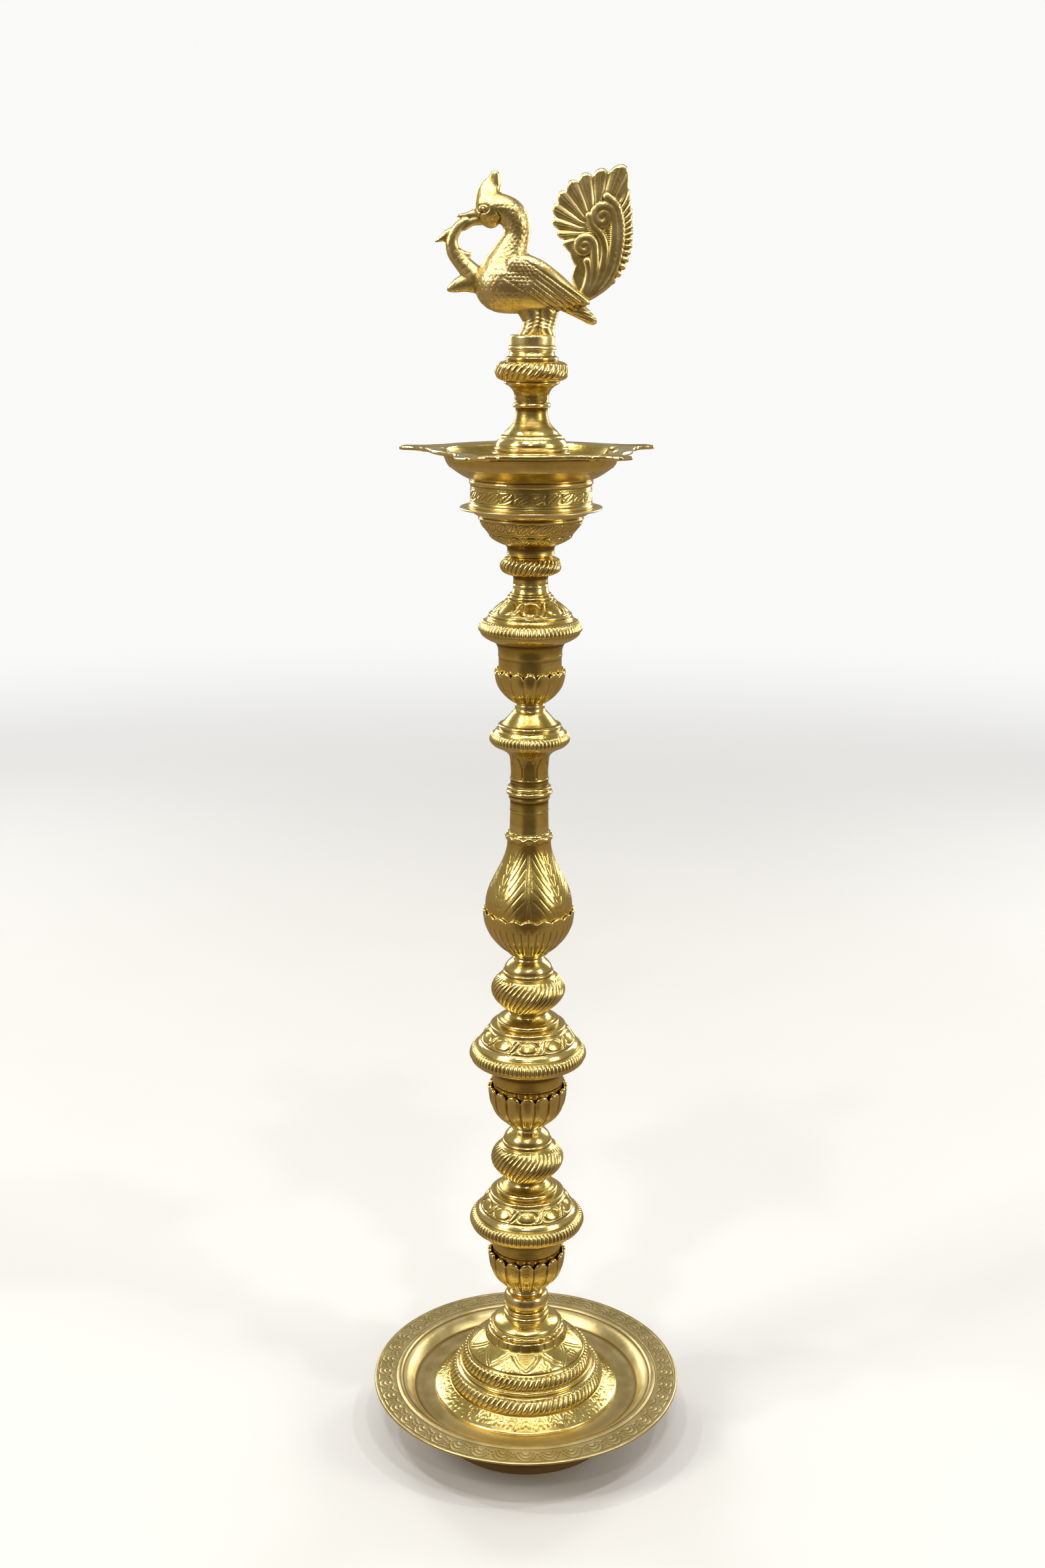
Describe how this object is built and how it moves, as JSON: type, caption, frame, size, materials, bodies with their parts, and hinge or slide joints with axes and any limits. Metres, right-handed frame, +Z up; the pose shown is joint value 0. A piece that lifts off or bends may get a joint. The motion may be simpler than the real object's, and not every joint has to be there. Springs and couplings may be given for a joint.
{
  "type": "standing oil lamp",
  "caption": "Tall standing oil lamp of turned brass sections on a drip tray, with a spouted oil dish and a peacock finial; the sections screw together.",
  "frame": {"origin": "on the lamp's axis at the floor, under the foot ring", "axes": "+Z up along the lamp's axis; the peacock faces -X; -Y is the side seen from the front"},
  "size_m": [0.306, 0.306, 1.22],
  "materials": {
    "polished_brass": "polished, with darker recesses",
    "chased_brass": "cast and chased, soft polish",
    "engraved_brass": "satin, finely engraved",
    "threaded_brass": "machined",
    "steel_fastener": "plain zinc"
  },
  "bodies": {
    "base": {"drip_tray": "engraved_brass", "pedestal": "polished_brass", "base_bolt": "steel_fastener", "base_washer": "steel_fastener", "lotus_cup_lower": "polished_brass"},
    "stud_1": {"stud_pedestal": "threaded_brass"},
    "skirt_lower": {"skirt_lower": "polished_brass"},
    "stud_2": {"stud_skirt_lower": "threaded_brass"},
    "bulb_lower": {"rope_bulb_lower": "polished_brass", "lotus_cup_middle": "polished_brass"},
    "stud_3": {"stud_bulb_lower": "threaded_brass"},
    "skirt_middle": {"skirt_middle": "polished_brass"},
    "stud_4": {"stud_skirt_middle": "threaded_brass"},
    "bulb_middle": {"rope_bulb_middle": "polished_brass"},
    "stud_5": {"stud_bulb_middle": "threaded_brass"},
    "vase": {"vase_cup": "polished_brass", "vase": "polished_brass"},
    "stud_6": {"stud_vase": "threaded_brass"},
    "neck_tube": {"neck_tube": "polished_brass", "lotus_cup_upper": "polished_brass"},
    "stud_7": {"stud_neck_tube": "threaded_brass"},
    "skirt_upper": {"skirt_upper": "polished_brass"},
    "stud_8": {"stud_skirt_upper": "threaded_brass"},
    "capital": {"capital": "polished_brass", "catch_plate": "engraved_brass"},
    "stud_9": {"stud_capital": "threaded_brass"},
    "dish": {"oil_drum": "polished_brass", "oil_dish": "polished_brass"},
    "stud_10": {"stud_dish": "threaded_brass"},
    "stem": {"stem": "polished_brass"},
    "stud_11": {"stud_stem": "threaded_brass"},
    "peacock": {"peacock": "chased_brass", "peacock_tail": "chased_brass"}
  },
  "joints": [
    {"name": "skirt_lower_rise", "type": "slide", "parent": "base", "child": "stud_1", "axis": [0, 0, 1], "range_m": [0, 0.015]},
    {"name": "skirt_lower_screw", "type": "hinge", "parent": "stud_1", "child": "skirt_lower", "pos_m": [0, 0, 0.166], "axis": [0, 0, 1], "range_deg": [0, 3600]},
    {"name": "bulb_lower_rise", "type": "slide", "parent": "skirt_lower", "child": "stud_2", "axis": [0, 0, 1], "range_m": [0, 0.015]},
    {"name": "bulb_lower_screw", "type": "hinge", "parent": "stud_2", "child": "bulb_lower", "pos_m": [0, 0, 0.2725], "axis": [0, 0, 1], "range_deg": [0, 3600]},
    {"name": "skirt_middle_rise", "type": "slide", "parent": "bulb_lower", "child": "stud_3", "axis": [0, 0, 1], "range_m": [0, 0.015]},
    {"name": "skirt_middle_screw", "type": "hinge", "parent": "stud_3", "child": "skirt_middle", "pos_m": [0, 0, 0.342], "axis": [0, 0, 1], "range_deg": [0, 3600]},
    {"name": "bulb_middle_rise", "type": "slide", "parent": "skirt_middle", "child": "stud_4", "axis": [0, 0, 1], "range_m": [0, 0.015]},
    {"name": "bulb_middle_screw", "type": "hinge", "parent": "stud_4", "child": "bulb_middle", "pos_m": [0, 0, 0.4485], "axis": [0, 0, 1], "range_deg": [0, 3600]},
    {"name": "vase_rise", "type": "slide", "parent": "bulb_middle", "child": "stud_5", "axis": [0, 0, 1], "range_m": [0, 0.015]},
    {"name": "vase_screw", "type": "hinge", "parent": "stud_5", "child": "vase", "pos_m": [0, 0, 0.506], "axis": [0, 0, 1], "range_deg": [0, 3600]},
    {"name": "neck_tube_rise", "type": "slide", "parent": "vase", "child": "stud_6", "axis": [0, 0, 1], "range_m": [0, 0.015]},
    {"name": "neck_tube_screw", "type": "hinge", "parent": "stud_6", "child": "neck_tube", "pos_m": [0, 0, 0.628], "axis": [0, 0, 1], "range_deg": [0, 3600]},
    {"name": "skirt_upper_rise", "type": "slide", "parent": "neck_tube", "child": "stud_7", "axis": [0, 0, 1], "range_m": [0, 0.015]},
    {"name": "skirt_upper_screw", "type": "hinge", "parent": "stud_7", "child": "skirt_upper", "pos_m": [0, 0, 0.761], "axis": [0, 0, 1], "range_deg": [0, 3600]},
    {"name": "capital_rise", "type": "slide", "parent": "skirt_upper", "child": "stud_8", "axis": [0, 0, 1], "range_m": [0, 0.015]},
    {"name": "capital_screw", "type": "hinge", "parent": "stud_8", "child": "capital", "pos_m": [0, 0, 0.861], "axis": [0, 0, 1], "range_deg": [0, 3600]},
    {"name": "dish_rise", "type": "slide", "parent": "capital", "child": "stud_9", "axis": [0, 0, 1], "range_m": [0, 0.015]},
    {"name": "dish_screw", "type": "hinge", "parent": "stud_9", "child": "dish", "pos_m": [0, 0, 0.93], "axis": [0, 0, 1], "range_deg": [0, 3600]},
    {"name": "stem_rise", "type": "slide", "parent": "dish", "child": "stud_10", "axis": [0, 0, 1], "range_m": [0, 0.015]},
    {"name": "stem_screw", "type": "hinge", "parent": "stud_10", "child": "stem", "pos_m": [0, 0, 0.958], "axis": [0, 0, 1], "range_deg": [0, 3600]},
    {"name": "peacock_rise", "type": "slide", "parent": "stem", "child": "stud_11", "axis": [0, 0, 1], "range_m": [0, 0.015]},
    {"name": "peacock_screw", "type": "hinge", "parent": "stud_11", "child": "peacock", "pos_m": [0, 0, 1.064], "axis": [0, 0, 1], "range_deg": [0, 3600]}
  ],
  "couplings": [
    {"joint": "skirt_lower_rise", "follows": "skirt_lower_screw", "m_per_rad": 0.00023873},
    {"joint": "bulb_lower_rise", "follows": "bulb_lower_screw", "m_per_rad": 0.00023873},
    {"joint": "skirt_middle_rise", "follows": "skirt_middle_screw", "m_per_rad": 0.00023873},
    {"joint": "bulb_middle_rise", "follows": "bulb_middle_screw", "m_per_rad": 0.00023873},
    {"joint": "vase_rise", "follows": "vase_screw", "m_per_rad": 0.00023873},
    {"joint": "neck_tube_rise", "follows": "neck_tube_screw", "m_per_rad": 0.00023873},
    {"joint": "skirt_upper_rise", "follows": "skirt_upper_screw", "m_per_rad": 0.00023873},
    {"joint": "capital_rise", "follows": "capital_screw", "m_per_rad": 0.00023873},
    {"joint": "dish_rise", "follows": "dish_screw", "m_per_rad": 0.00023873},
    {"joint": "stem_rise", "follows": "stem_screw", "m_per_rad": 0.00023873},
    {"joint": "peacock_rise", "follows": "peacock_screw", "m_per_rad": 0.00023873}
  ]
}
